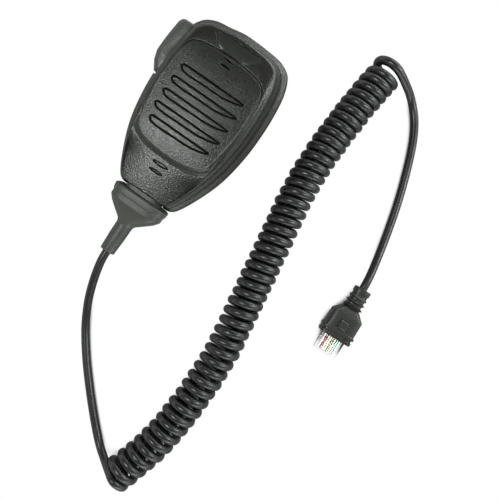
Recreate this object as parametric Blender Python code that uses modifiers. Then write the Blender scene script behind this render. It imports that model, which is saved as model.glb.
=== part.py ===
"""Hand microphone for a two-way radio, with a curly cord and an eight-way modular plug.

The microphone lies on its back on a desk, propped on its hang-up button and on the
heel of its rear shell. Its cord leaves the bushing at -Y, runs into a long curl that
lies beside the microphone, and ends in a booted clear plug.

Sizes are in millimetres and become metres where a mesh is made. A piece of the
microphone is described in the case's own frame: x across, y towards the top end,
z out of the grille, with z = 0 on the flat back.
"""

import math

import bmesh
import bpy
from mathutils import Matrix, Vector

MM = 0.001
GAP = 0.3

# Case
RIM_HALF_WIDTH = 30.3
RIM_TOP = 45.2
RIM_BOTTOM = -46.0
RIM_HEIGHT = 10.7
CORNER_DROP = 1.1
PARTING = 14.5
FACE_HEIGHT = 24.6
PANEL_RIM = 25.8
FOOT_TOP = 25.3
FOOT_LOW = 24.4
CORD_END_INSET = 0.4
CROWN = 27.0
WALL = 2.2
RING_POINTS = 56

# Where the case stands: x and y of its middle, and its tilt on the button and heel
DESK_X = 1.36
DESK_Y = 16.88
HEEL_Y = -36.5
BUTTON_Y = 18.0
BUTTON_RADIUS = 8.2
BUTTON_PROUD = 3.8
TILT = math.atan(BUTTON_PROUD / (BUTTON_Y - BUTTON_RADIUS - HEEL_Y))
MIC_LIFT = -HEEL_Y * math.sin(TILT)

# Push-to-talk lever on the left side
PTT_PIVOT = (-24.8, 8.4)
PTT_LOW = 8.5
PTT_HIGH = 20.2
PIN_RADIUS = 0.9
SWITCH_Y = 14.4

# Cord and bushing
CORD_DIAMETER = 4.2
CORD_AXIS_HEIGHT = 14.0
NECK_END = -78.5
COIL_RADIUS = 6.75
COIL_OUTER = COIL_RADIUS + CORD_DIAMETER / 2

# Plug: the middle of the boot's front face, the turn of its axis, and its height
PLUG_X = 115.8
PLUG_Y = -49.9
PLUG_TURN = math.radians(2.6)
PLUG_AXIS_HEIGHT = 6.6
PLUG_WIDTH = 11.7
PLUG_THICKNESS = 6.5
PLUG_TIP = -9.0
PLUG_REAR = 12.5
CONTACT_PITCH = 1.15
CONTACT_COUNT = 8
LATCH_ROOT = (-7.5, 10.35)

HOLE_CLEARANCE = 0.3
SCREW_RADIUS = 1.0

for leftover in list(bpy.data.objects):
    bpy.data.objects.remove(leftover, do_unlink=True)

parts = bpy.data.collections.new("hand_microphone")
cutters = bpy.data.collections.new("cutters")
for collection in (parts, cutters):
    bpy.context.scene.collection.children.link(collection)
cutters.hide_render = True


# Materials -----------------------------------------------------------------


def material(name, colour, roughness, metallic=0.0, clear=0.0):
    made = bpy.data.materials.new(name)
    made.use_nodes = True
    shader = made.node_tree.nodes["Principled BSDF"]
    shader.inputs["Base Color"].default_value = (*colour, 1.0)
    shader.inputs["Roughness"].default_value = roughness
    shader.inputs["Metallic"].default_value = metallic
    shader.inputs["Transmission Weight"].default_value = clear
    return made


# Placing -------------------------------------------------------------------


def empty(name, location, rotation=(0, 0, 0), parent=None):
    made = bpy.data.objects.new(name, None)
    made.location = Vector(location) * MM
    made.rotation_euler = rotation
    made.parent = parent
    parts.objects.link(made)
    return made


def link_part(obj, finish, parent):
    obj.data.materials.clear()
    obj.data.materials.append(finish)
    obj.parent = parent
    parts.objects.link(obj)
    return obj


def link_cutter(obj, parent):
    obj.hide_render = True
    obj.display_type = "WIRE"
    obj.parent = parent
    cutters.objects.link(obj)
    return obj


def object_from(name, mesh_data, smooth=30.0):
    bmesh.ops.recalc_face_normals(mesh_data, faces=mesh_data.faces)
    mesh = bpy.data.meshes.new(name)
    mesh_data.to_mesh(mesh)
    mesh_data.free()
    mesh.transform(Matrix.Scale(MM, 4))
    mesh.shade_smooth()
    mesh.set_sharp_from_angle(angle=math.radians(smooth))
    return bpy.data.objects.new(name, mesh)


# Curves and outlines ---------------------------------------------------------


def spline(points, per_span, closed=False):
    """A centripetal Catmull-Rom curve through the points."""
    knots = [Vector(p) for p in points]
    if closed:
        knots = [knots[-1], *knots, knots[0], knots[1]]
    else:
        knots = [2 * knots[0] - knots[1], *knots, 2 * knots[-1] - knots[-2]]
    curve = []
    for a, b, c, d in zip(knots, knots[1:], knots[2:], knots[3:]):
        t1 = (b - a).length ** 0.5
        t2 = t1 + (c - b).length ** 0.5
        t3 = t2 + (d - c).length ** 0.5
        for step in range(per_span):
            t = t1 + (t2 - t1) * step / per_span
            ab = a.lerp(b, t / t1)
            bc = b.lerp(c, (t - t1) / (t2 - t1))
            cd = c.lerp(d, (t - t2) / (t3 - t2))
            curve.append(ab.lerp(bc, t / t2).lerp(bc.lerp(cd, (t - t1) / (t3 - t1)), (t - t1) / (t2 - t1)))
    return curve if closed else [*curve, knots[-2]]


def evenly(curve, count, closed=False):
    """The curve again, as count points at equal spacing."""
    path = [*curve, curve[0]] if closed else curve
    along = [0.0]
    for a, b in zip(path, path[1:]):
        along.append(along[-1] + (b - a).length)
    spans = count if closed else count - 1
    spaced = []
    span = 0
    for k in range(count):
        target = along[-1] * k / spans
        while span < len(path) - 2 and along[span + 1] < target:
            span += 1
        share = (target - along[span]) / (along[span + 1] - along[span])
        spaced.append(path[span].lerp(path[span + 1], share))
    return spaced


def mirrored_outline(right_side, count):
    """A closed outline from the points of its right half, listed from the bottom up."""
    left_side = [(-x, y) for x, y in reversed(right_side) if x > 0]
    return evenly(spline([*right_side, *left_side], 12, closed=True), count, closed=True)


def ramp(value, low, high):
    t = min(1, max(0, (value - low) / (high - low)))
    return t * t * (3 - 2 * t)


def rim_outline():
    """The rim, whose corner behind the lever is a little lower than the other one."""
    half = [(0, RIM_BOTTOM), (8, RIM_BOTTOM), (13.8, -45.8), (16.5, -43.9), (22.9, -31.5)]
    half += [(27.3, -18.8), (29.7, -4.2), (RIM_HALF_WIDTH, 8), (29.8, 21), (28.2, 31.8)]
    half += [(25.9, 38.0), (23.6, 41.1), (18.2, 43.8), (9, 44.9), (0, RIM_TOP)]
    outline = mirrored_outline(half, RING_POINTS)
    for p in outline:
        p.y -= CORNER_DROP * ramp(-p.x, 2, 14) * ramp(p.y, 34, 41)
    return outline


def panel_outline():
    half = [(0, -23.4), (9, -22.9), (15.4, -21.2), (18.8, -18.6), (20.3, -14.5), (22.2, -3)]
    half += [(22.7, 5), (22.1, 15), (21.0, 23.2), (18.6, 26.9), (12, 28.9), (0, 29.7)]
    return mirrored_outline(half, RING_POINTS)


# Solids ----------------------------------------------------------------------


def add_loft(mesh_data, rings, cap_start=True, cap_end=True):
    rows = [[mesh_data.verts.new(point) for point in ring] for ring in rings]
    for row, following in zip(rows, rows[1:]):
        for k in range(len(row)):
            after = (k + 1) % len(row)
            mesh_data.faces.new((row[k], row[after], following[after], following[k]))
    if cap_start:
        mesh_data.faces.new(reversed(rows[0]))
    if cap_end:
        mesh_data.faces.new(rows[-1])


def loft(name, rings, **caps):
    mesh_data = bmesh.new()
    add_loft(mesh_data, rings, **caps)
    return object_from(name, mesh_data)


def add_box(mesh_data, low, high):
    size = [b - a for a, b in zip(low, high)]
    middle = [(a + b) / 2 for a, b in zip(low, high)]
    place = Matrix.Translation(middle) @ Matrix.Diagonal((*size, 1))
    bmesh.ops.create_cube(mesh_data, size=1, matrix=place)


def add_cylinder(mesh_data, radius, start, end, segments=16):
    start = Vector(start)
    axis = Vector(end) - start
    turn = Vector((0, 0, 1)).rotation_difference(axis).to_matrix().to_4x4()
    bmesh.ops.create_cone(
        mesh_data,
        cap_ends=True,
        segments=segments,
        radius1=radius,
        radius2=radius,
        depth=axis.length,
        matrix=Matrix.Translation(start + axis / 2) @ turn,
    )


def add_prism(mesh_data, outline, low, high):
    add_loft(mesh_data, [[(x, y, z) for x, y in outline] for z in (low, high)])


def boxes(name, extents):
    mesh_data = bmesh.new()
    for low, high in extents:
        add_box(mesh_data, low, high)
    return object_from(name, mesh_data)


def cylinders(name, rods, segments=16):
    mesh_data = bmesh.new()
    for radius, start, end in rods:
        add_cylinder(mesh_data, radius, start, end, segments)
    return object_from(name, mesh_data)


def prism(name, outline, low, high):
    mesh_data = bmesh.new()
    add_prism(mesh_data, outline, low, high)
    return object_from(name, mesh_data)


def turned(name, profile, x, y, steps=24):
    """A turned solid about a line along z. The profile runs down its outer side."""
    mesh = bpy.data.meshes.new(name)
    points = [(radius * MM, 0, z * MM) for radius, z in profile]
    mesh.from_pydata(points, [(k, k + 1) for k in range(len(points) - 1)], [])
    obj = bpy.data.objects.new(name, mesh)
    obj.location = (x * MM, y * MM, 0)
    screw = obj.modifiers.new("turn", "SCREW")
    screw.steps = screw.render_steps = steps
    screw.use_merge_vertices = True
    screw.merge_threshold = 0.00001
    screw.use_smooth_shade = True
    return obj


def tube(name, points, radius, resolution=2):
    """A round wire or cable, as a POLY curve with filled ends."""
    curve = bpy.data.curves.new(name, "CURVE")
    curve.dimensions = "3D"
    curve.bevel_depth = radius * MM
    curve.bevel_resolution = resolution
    curve.use_fill_caps = True
    line = curve.splines.new("POLY")
    line.points.add(len(points) - 1)
    for point, place in zip(line.points, points):
        point.co = (*(Vector(place) * MM), 1)
    return bpy.data.objects.new(name, curve)


def soften(obj, width, segments=1, angle=40.0):
    bevel = obj.modifiers.new("edges", "BEVEL")
    bevel.width = width * MM
    bevel.segments = segments
    bevel.limit_method = "ANGLE"
    bevel.angle_limit = math.radians(angle)
    return obj


def combine(obj, tool, operation):
    change = obj.modifiers.new(tool.name, "BOOLEAN")
    change.operation = operation
    change.object = tool
    change.solver = "EXACT"
    change.use_self = True
    return obj


def cut(obj, tool, parent):
    return combine(obj, link_cutter(tool, parent), "DIFFERENCE")


def join(obj, tool, parent):
    return combine(obj, link_cutter(tool, parent), "UNION")


# The case ----------------------------------------------------------------------

mic = empty(
    "mic_axis",
    (DESK_X, DESK_Y + RIM_HEIGHT * math.sin(TILT), MIC_LIFT),
    (TILT, 0, 0),
)
ptt_axis = empty("ptt_axis", (*PTT_PIVOT, 0), parent=mic)

SCREW_PLACES = [(17, 32), (-17, 32), (13, -30.5), (-13, -30.5)]
BOARD_SCREWS = [(13, 13.5), (-11, -16)]
CLAMP_SCREWS = [(6.2, -34.5), (-6.2, -34.5)]

SLOTS = [(14.05, 17.1), (7.3, 17.9), (0.35, 17.9), (-6.45, 17.9), (-13.15, 16.3)]
SLOT_HALF_HEIGHT = 1.85
LENS_SLOTS = [(-28.6, 4.4, 0.9), (-32.5, 3.7, 0.75)]
DASHES = [(28.0, 2.6, 0.4), (25.0, 2.7, 0.5)]


def ring_of(outline, inset, height):
    """The outline drawn in by inset, its points at one height."""
    across = 1 - inset / RIM_HALF_WIDTH
    along = 1 - inset / -RIM_BOTTOM
    return [(p.x * across, p.y * along, height) for p in outline]


def front_ring(outline, inset, height):
    """A ring of the grille half, which is drawn in less at its cord end."""
    across = 1 - inset / RIM_HALF_WIDTH
    return [
        (p.x * across, p.y * (1 - inset * (CORD_END_INSET if p.y < 0 else 1) / -RIM_BOTTOM), height)
        for p in outline
    ]


def drooped(ring):
    """Lowers the grille side towards the top end and, more, towards the cord end."""
    lowered = []
    for x, y, z in ring:
        droop = 0.10 * max(0, (y - 18) / 27) ** 2 + 0.22 * max(0, (-12 - y) / 34) ** 2
        lowered.append((x, y, PARTING + GAP + (z - PARTING - GAP) * (1 - droop)))
    return lowered


def between(ring, other, share):
    return [Vector(a).lerp(Vector(b), share) for a, b in zip(ring, other)]


def scaled_panel(outline, share, height):
    return [(p.x * share, 3 + (p.y - 3) * share, height) for p in outline]


def panel_foot(outline):
    """Where the step round the panel meets the face: low and wide at the cord end."""
    foot = []
    for p in outline:
        low = min(1, max(0, (22 - p.y) / 40))
        share = 1.01 + 0.03 * low
        foot.append((p.x * share, 3 + (p.y - 3) * share, FOOT_TOP + (FOOT_LOW - FOOT_TOP) * low))
    return foot


def hollow(obj):
    skin = obj.modifiers.new("wall", "SOLIDIFY")
    skin.thickness = WALL * MM
    skin.offset = -1
    return obj


def slot_outline(middle, half_width):
    """A straight top edge, a round left end and a blade tapering to the right."""
    top = middle + SLOT_HALF_HEIGHT
    low = middle - SLOT_HALF_HEIGHT
    left = -half_width
    outline = [(half_width, top), (half_width - 0.3, top - 0.9), (half_width - 5, low + 0.9)]
    outline += [(half_width - 10, low + 0.15), (half_width - 14, low), (left + 2.6, low)]
    outline += [(left + 0.9, low + 0.8), (left, middle + 0.5), (left + 0.4, top - 0.5)]
    outline += [(left + 1.4, top)]
    return outline


def lens_outline(middle, half_width, half_height):
    steps = 12
    turns = [2 * math.pi * k / steps for k in range(steps)]
    return [(half_width * math.cos(t), middle + half_height * math.sin(t)) for t in turns]


def front_shell():
    rim = rim_outline()
    panel = panel_outline()
    ridge = front_ring(rim, 6.0, FACE_HEIGHT)
    foot = panel_foot(panel)
    rings = [front_ring(rim, 3.0, PARTING + GAP), front_ring(rim, 3.0, PARTING + 1.2)]
    rings += [front_ring(rim, 3.4, 19.5), front_ring(rim, 3.9, 22.2), front_ring(rim, 4.7, 23.8)]
    rings += [ridge, between(ridge, foot, 0.5), foot, scaled_panel(panel, 0.975, PANEL_RIM)]
    for share, height in [(0.8, 26.35), (0.55, 26.75), (0.28, CROWN)]:
        rings.append(scaled_panel(panel, share, height))
    shell = hollow(loft("front_shell", [drooped(ring) for ring in rings], cap_start=False))

    posts = [(2.4, (x, y, 7.4), (x, y, 23.4 if y > 0 else 23.0)) for x, y in SCREW_PLACES]
    posts += [(2.3, (x, y, 18.5), (x, y, 25.0)) for x, y in BOARD_SCREWS]
    join(shell, cylinders("front_posts", posts), mic)
    join(shell, boxes("front_lug", [((-25.9, 6, 20.6), (-22.3, 10.8, 23.0))]), mic)
    link_part(shell, case_plastic, mic)

    holes = [(1.3, (x, y, 6.0), (x, y, 19.5)) for x, y in SCREW_PLACES]
    holes += [(1.3, (x, y, 17.5), (x, y, 23.0)) for x, y in BOARD_SCREWS]
    holes.append((PIN_RADIUS + HOLE_CLEARANCE, (*PTT_PIVOT, 19), (*PTT_PIVOT, 22.3)))
    cut(shell, cylinders("front_holes", holes), mic)

    recess = bmesh.new()
    for middle, half_width in SLOTS:
        add_prism(recess, slot_outline(middle, half_width), 25.6, 30)
    for middle, half_width, half_height in LENS_SLOTS:
        add_prism(recess, lens_outline(middle, half_width, half_height), 23.0, 30)
    for middle, half_width, half_height in DASHES:
        add_prism(recess, lens_outline(middle, half_width, half_height), 20, 30)
    add_prism(recess, nameplate_outline(0.3), 23.6, 30)
    cut(shell, object_from("face_recesses", recess), mic)
    return shell


def nameplate_outline(grown):
    """A trapezoid, wide at the top, with its corners cut."""
    half = [(6.5, 30.6 - grown), (8.6 + grown, 31.5 - grown), (12.9 + grown, 36.2)]
    half += [(11.6 + grown, 37.4 + grown)]
    return [*half, *[(-x, y) for x, y in reversed(half)]]


def rear_shell():
    rim = rim_outline()
    rings = [(2.7, PARTING), (2.7, 13.8), (0, RIM_HEIGHT), (0.2, 9.0), (1.8, 5.0)]
    rings += [(4.4, 1.6), (7.4, 0.25), (9.5, 0)]
    shell = hollow(loft("rear_shell", [ring_of(rim, *ring) for ring in rings], cap_start=False))

    posts = [(3.6, (x, y, 1.2), (x, y, 7.0)) for x, y in SCREW_PLACES]
    posts += [(2.3, (x, y, 1.2), (x, y, 12.4)) for x, y in CLAMP_SCREWS]
    posts.append((11.5, (0, BUTTON_Y, 1.5), (0, BUTTON_Y, 4.2)))
    join(shell, cylinders("rear_posts", posts, 20), mic)
    lugs = [((-27.4, 6, 4.4), (-22.8, 10.8, 7.8)), ((-28.2, 36.3, 5.5), (-21.0, 38.6, 14.5))]
    join(shell, boxes("rear_lugs", lugs), mic)
    link_part(shell, case_plastic, mic)

    wells = [(2.7, (x, y, -1), (x, y, 3.4)) for x, y in SCREW_PLACES]
    wells.append((10.4, (0, BUTTON_Y, -1), (0, BUTTON_Y, 1.2)))
    cut(shell, cylinders("rear_wells", wells, 24), mic)
    holes = [(1.35, (x, y, 2), (x, y, 8)) for x, y in SCREW_PLACES]
    holes += [(1.3, (x, y, 5), (x, y, 13.5)) for x, y in CLAMP_SCREWS]
    holes.append((2.0 + HOLE_CLEARANCE, (0, BUTTON_Y, 0), (0, BUTTON_Y, 6)))
    holes.append((PIN_RADIUS + HOLE_CLEARANCE, (*PTT_PIVOT, 5.6), (*PTT_PIVOT, 9)))
    cut(shell, cylinders("rear_holes", holes), mic)
    return shell


def case_openings():
    """The side window of the lever and the end opening of the bushing, in both shells."""
    window = ((-40, 5.2, 8.2), (-21.4, 35.1, 20.5))
    mouth = ((-10.2, -55, 8.0), (10.2, -39.5, 20.0))
    return link_cutter(boxes("case_openings", [window, mouth]), mic)


case_plastic = material("case_plastic", (0.035, 0.036, 0.034), 0.45)
front = front_shell()
rear = rear_shell()
openings = case_openings()
for shell in (front, rear):
    combine(shell, openings, "DIFFERENCE")

nameplate = prism("nameplate", nameplate_outline(-0.1), 23.9, 24.35)
link_part(nameplate, material("nameplate_plastic", (0.04, 0.04, 0.038), 0.4), mic)


# Fasteners -----------------------------------------------------------------------


def screw(name, place, head_low, head_high, tip, head_radius=2.3):
    """A pan-headed screw. It points up out of the head, or down where tip is below it."""
    x, y = place
    up = tip > head_high
    body = turned(
        name,
        [(0, tip), (SCREW_RADIUS, tip), (SCREW_RADIUS, head_high), (head_radius, head_high)]
        + [(head_radius, head_low + 0.5), (head_radius - 0.6, head_low), (0, head_low)]
        if up
        else [(0, head_high), (head_radius - 0.6, head_high), (head_radius, head_high - 0.5)]
        + [(head_radius, head_low), (SCREW_RADIUS, head_low), (SCREW_RADIUS, tip), (0, tip)],
        x,
        y,
        steps=12,
    )
    return link_part(body, screw_steel, mic)


screw_steel = material("screw_steel", (0.30, 0.30, 0.31), 0.35, metallic=1.0)
for number, place in enumerate(SCREW_PLACES, 1):
    screw(f"case_screw_{number}", place, 1.4, 3.1, 17.0)
for number, place in enumerate(BOARD_SCREWS, 1):
    screw(f"board_screw_{number}", place, 14.8, 16.3, 21.5, 2.0)
for number, place in enumerate(CLAMP_SCREWS, 1):
    screw(f"clamp_screw_{number}", place, 17.5, 19.0, 7.5, 2.0)


# Hang-up button ---------------------------------------------------------------------


def hang_button():
    low = -BUTTON_PROUD
    profile = [(0, 9.0), (2.0, 9.0), (2.0, 0.9), (4.2, 0.9), (4.2, low + 2.2)]
    profile += [(BUTTON_RADIUS - 0.7, low + 2.2), (BUTTON_RADIUS, low + 1.6)]
    profile += [(BUTTON_RADIUS, low), (0, low)]
    return link_part(turned("hang_button", profile, 0, BUTTON_Y), button_metal, mic)


button_metal = material("button_metal", (0.55, 0.55, 0.56), 0.3, metallic=1.0)
hang_button()
washer = cylinders("hang_washer", [(5.0, (0, BUTTON_Y, 4.5), (0, BUTTON_Y, 5.3))], 24)
nut = cylinders("hang_nut", [(4.0, (0, BUTTON_Y, 5.6), (0, BUTTON_Y, 8.2))], 6)
stud_hole = cylinders("stud_hole", [(2.3, (0, BUTTON_Y, 3), (0, BUTTON_Y, 10))])
link_cutter(stud_hole, mic)
for piece in (washer, nut):
    combine(piece, stud_hole, "DIFFERENCE")
    link_part(piece, screw_steel, mic)


# Push-to-talk lever ---------------------------------------------------------------------


def ptt_button():
    """The lever, drawn about its pivot, with a rib that works the switch."""
    outer = [(-26.2, 5.6), (-28.9, 5.9), (-31.7, 10.4), (-33.0, 14.8), (-32.6, 24.0)]
    outer += [(-31.8, 31.4), (-31.0, 33.0), (-29.6, 33.9), (-23.9, 34.1)]
    inner = [(-23.9, 32.8), (-24.9, 28.0), (-25.6, 21.0), (-25.6, SWITCH_Y + 1.5)]
    inner += [(-25.1, SWITCH_Y + 0.8), (-25.1, SWITCH_Y - 0.8), (-25.6, SWITCH_Y - 1.5)]
    inner += [(-25.6, 11.0), (-23.6, 10.2), (-22.9, 8.4), (-23.6, 6.6)]
    outline = [(x - PTT_PIVOT[0], y - PTT_PIVOT[1]) for x, y in outer + inner]
    lever = prism("ptt_button", outline, PTT_LOW, PTT_HIGH)
    lever.data.shade_flat()
    soften(lever, 0.5, 2, angle=50)
    hole = cylinders("ptt_bore", [(PIN_RADIUS + HOLE_CLEARANCE, (0, 0, 7), (0, 0, 22))])
    cut(lever, hole, ptt_axis)
    return link_part(lever, material("ptt_plastic", (0.09, 0.092, 0.088), 0.5), ptt_axis)


def ptt_seal():
    """A rubber cap over the switch, with a nub under the lever's rib."""
    seal = boxes("ptt_seal", [((-24.1, 10.9, 10.2), (-23.4, 18.3, 16.4))])
    nub = cylinders("seal_nub", [(1.4, (-23.7, SWITCH_Y, 13.3), (-24.75, SWITCH_Y, 13.3))])
    join(seal, nub, mic)
    return link_part(seal, soft_rubber, mic)


soft_rubber = material("soft_rubber", (0.03, 0.03, 0.03), 0.8)
ptt_button()
ptt_seal()
pin = cylinders("ptt_pivot_pin", [(PIN_RADIUS, (*PTT_PIVOT, 5.9), (*PTT_PIVOT, 22.0))], 12)
link_part(pin, screw_steel, mic)

switch = boxes("switch_body", [((-21.6, 10.4, 10.0), (-15.6, 18.6, 16.2))])
bore = cylinders("switch_bore", [(1.5, (-23, SWITCH_Y, 13.3), (-18.2, SWITCH_Y, 13.3))])
cut(switch, bore, mic)
link_part(switch, material("switch_plastic", (0.05, 0.05, 0.055), 0.5), mic)
plunger = cylinders("switch_plunger", [(1.2, (-23.0, SWITCH_Y, 13.3), (-19.0, SWITCH_Y, 13.3))])
link_part(plunger, material("plunger_plastic", (0.7, 0.7, 0.66), 0.5), mic)


# Electronics -----------------------------------------------------------------------------

board = boxes("circuit_board", [((-20, -20, 16.6), (17, 19.4, 18.2))])
board_holes = [(1.3, (x, y, 15), (x, y, 20)) for x, y in BOARD_SCREWS]
cut(board, cylinders("board_holes", board_holes), mic)
link_part(board, material("board_green", (0.02, 0.16, 0.07), 0.5), mic)
chip = boxes("amplifier_chip", [((-3, -4, 14.6), (3, 2, 16.3))])
link_part(chip, material("chip_black", (0.02, 0.02, 0.02), 0.4), mic)

CAPSULE_Y = 26.5
CAPSULE_RADIUS = 4.85
capsule = cylinders("mic_capsule", [(CAPSULE_RADIUS, (0, CAPSULE_Y, 16.4), (0, CAPSULE_Y, 20.9))], 24)
link_part(capsule, material("capsule_metal", (0.6, 0.6, 0.6), 0.3, metallic=1.0), mic)
holder = cylinders("capsule_boot", [(6.3, (0, CAPSULE_Y, 15.8), (0, CAPSULE_Y, 21.8))], 24)
pocket = cylinders("capsule_pocket", [(5.2, (0, CAPSULE_Y, 15), (0, CAPSULE_Y, 24))], 24)
cut(holder, pocket, mic)
link_part(holder, soft_rubber, mic)
felt = cylinders("inlet_felt", [(CAPSULE_RADIUS, (0, CAPSULE_Y, 21.2), (0, CAPSULE_Y, 21.7))], 24)
link_part(felt, material("felt", (0.02, 0.02, 0.02), 0.95), mic)

header_plastic = material("header_plastic", (0.75, 0.73, 0.66), 0.5)
header = boxes("wire_header", [((-7.2, -17.0, 12.2), (7.2, -12.0, 16.3))])
link_part(header, header_plastic, mic)
housing = boxes("wire_housing", [((-6.9, -22.6, 12.4), (6.9, -17.3, 16.0))])
link_part(housing, header_plastic, mic)

WIRE_COLOURS = {
    "red": (0.6, 0.03, 0.03),
    "yellow": (0.75, 0.6, 0.05),
    "green": (0.05, 0.35, 0.1),
    "blue": (0.05, 0.15, 0.5),
    "white": (0.75, 0.75, 0.73),
    "black": (0.02, 0.02, 0.02),
}
for number, (colour, rgb) in enumerate(WIRE_COLOURS.items()):
    column, row = divmod(number, 2)
    start = (1.25 * (column - 1), -29.8, 13.2 + 1.6 * row)
    end_x = 2.0 * number - 5
    route = [start, (start[0], -28.6, start[2]), (end_x * 0.9, -24.6, 14.3), (end_x, -22.95, 14.2)]
    wire = tube(f"wire_{colour}", evenly(spline(route, 6), 8), 0.4, 1)
    link_part(wire, material(f"{colour}_insulation", rgb, 0.45), mic)


# Cord, clamp and bushing --------------------------------------------------------------------


def section(y, half_width, half_depth, squareness, middle, count=28):
    """A rounded-rectangle section across the cord's line; a squareness of 2 is an ellipse."""
    ring = []
    for k in range(count):
        turn = 2 * math.pi * (k + 0.5) / count
        reach = [math.copysign(abs(f(turn)) ** (2 / squareness), f(turn)) for f in (math.cos, math.sin)]
        ring.append((half_width * reach[0], y, middle + half_depth * reach[1]))
    return ring


def cord_bushing():
    """Inner flange, collar through the case, stepped bell and tapering neck."""
    stations = [(-37.9, 11.0, 6.3, 4), (-39.3, 11.0, 6.3, 4), (-39.6, 9.7, 5.5, 5)]
    stations += [(-46.5, 9.7, 5.5, 5), (-46.6, 13.6, 8.2, 4), (-47.2, 14.4, 8.9, 4)]
    stations += [(-50.1, 14.0, 8.7, 4), (-50.4, 13.6, 8.3, 4), (-53.2, 13.5, 8.2, 4)]
    stations += [(-55.6, 11.7, 7.4, 3.6), (-59.0, 7.8, 5.8, 3), (-61.4, 4.9, 4.5, 2.4)]
    stations += [(-63.0, 4.2, 4.15, 2), (-70.0, 4.1, 4.1, 2), (NECK_END, 3.75, 3.75, 2)]
    rings = [section(*station, CORD_AXIS_HEIGHT) for station in stations]
    bushing = loft("cord_bushing", rings)
    ends = ((0, -30, CORD_AXIS_HEIGHT), (0, -90, CORD_AXIS_HEIGHT))
    cut(bushing, cylinders("bushing_bore", [(CORD_DIAMETER / 2 + 0.35, *ends)]), mic)
    return link_part(bushing, cord_rubber, mic)


def cord_clamp():
    bar = boxes("cord_clamp", [((-8.6, -36.5, 12.8), (8.6, -32.5, 17.2))])
    groove = ((0, -30, CORD_AXIS_HEIGHT), (0, -40, CORD_AXIS_HEIGHT))
    cut(bar, cylinders("clamp_groove", [(CORD_DIAMETER / 2 + 0.3, *groove)]), mic)
    cut(bar, boxes("clamp_mouth", [((-2.4, -38, 12), (2.4, -31, 14))]), mic)
    holes = [(1.3, (x, y, 12), (x, y, 18)) for x, y in CLAMP_SCREWS]
    cut(bar, cylinders("clamp_holes", holes), mic)
    return link_part(bar, screw_steel, mic)


cord_rubber = material("cord_rubber", (0.03, 0.03, 0.03), 0.5)
cord_bushing()
cord_clamp()
inner_ends = [(0, -30.1, CORD_AXIS_HEIGHT), (0, NECK_END + 0.1, CORD_AXIS_HEIGHT)]
link_part(tube("inner_cable", inner_ends, CORD_DIAMETER / 2), cord_rubber, mic)

# The free cord, in the frame of the desk with the case's middle at x = y = 0
LEAD_FROM_MIC = [
    (0.0, -78.95, 10.55),
    (0.15, -84.0, 10.1),
    (1.6, -92.9, 8.4),
    (4.5, -103.3, 5.6),
    (7.8, -111.3, 3.4),
    (11.6, -118.2, 2.4),
    (19.7, -129.2, 2.2),
    (28.1, -139.0, 2.2),
    (37.3, -148.9, 2.2),
    (45.9, -157.1, 2.2),
    (51.5, -161.6, 2.3),
    (56.4, -164.9, 3.0),
]
COIL_AXIS = [
    (66.4, -167.7, 8.95),
    (67.2, -165.0, 8.95),
    (70.3, -155.0, 8.95),
    (73.6, -139.9, 8.95),
    (75.2, -121.9, 8.95),
    (75.4, -103.9, 8.95),
    (74.6, -87.9, 8.95),
    (72.2, -71.9, 8.95),
    (69.7, -56.9, 8.95),
    (67.0, -40.9, 8.95),
    (63.8, -21.9, 8.95),
    (61.0, -5.9, 8.95),
    (59.4, 10.0, 8.95),
    (59.0, 24.0, 8.95),
    (59.4, 38.0, 8.95),
    (60.2, 52.0, 8.95),
    (61.6, 66.0, 8.95),
    (62.9, 76.6, 8.95),
]
LEAD_TO_PLUG = [
    (73.6, 73.7, 7.6),
    (77.4, 71.8, 5.0),
    (82.0, 68.3, 3.0),
    (86.3, 63.8, 2.3),
    (90.4, 57.6, 2.2),
    (94.4, 50.2, 2.2),
    (98.5, 41.2, 2.2),
    (102.0, 31.8, 2.2),
    (105.2, 22.1, 2.2),
    (108.0, 12.4, 2.2),
    (110.3, 3.3, 2.6),
    (112.1, -5.5, 3.8),
    (113.4, -13.6, 5.8),
    (114.0, -18.4, 6.5),
    (114.3, -21.45, 6.6),
]


def on_desk(points):
    return [(x + DESK_X, y + DESK_Y, z) for x, y, z in points]


def free_cord(name, points, radius, spacing, resolution=2):
    curve = spline(on_desk(points), 8)
    length = sum((b - a).length for a, b in zip(curve, curve[1:]))
    route = evenly(curve, round(length / spacing) + 1)
    return link_part(tube(name, route, radius, resolution), cord_rubber, None)


free_cord("cord_lead_mic", LEAD_FROM_MIC, CORD_DIAMETER / 2, 8.0)
free_cord("cord_curl", COIL_AXIS, COIL_OUTER, 6.5, 4)
free_cord("cord_lead_plug", LEAD_TO_PLUG, CORD_DIAMETER / 2, 8.0)


# Plug: y from the boot's front face towards the cord, z up from the desk ------------------

plug = empty("plug_axis", (DESK_X + PLUG_X, DESK_Y + PLUG_Y, 0), (0, 0, PLUG_TURN))
latch_axis = empty("latch_axis", (0, *LATCH_ROOT), parent=plug)
pad_axis = empty("pad_axis", (0, 7.65, 12.3), parent=plug)


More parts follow.
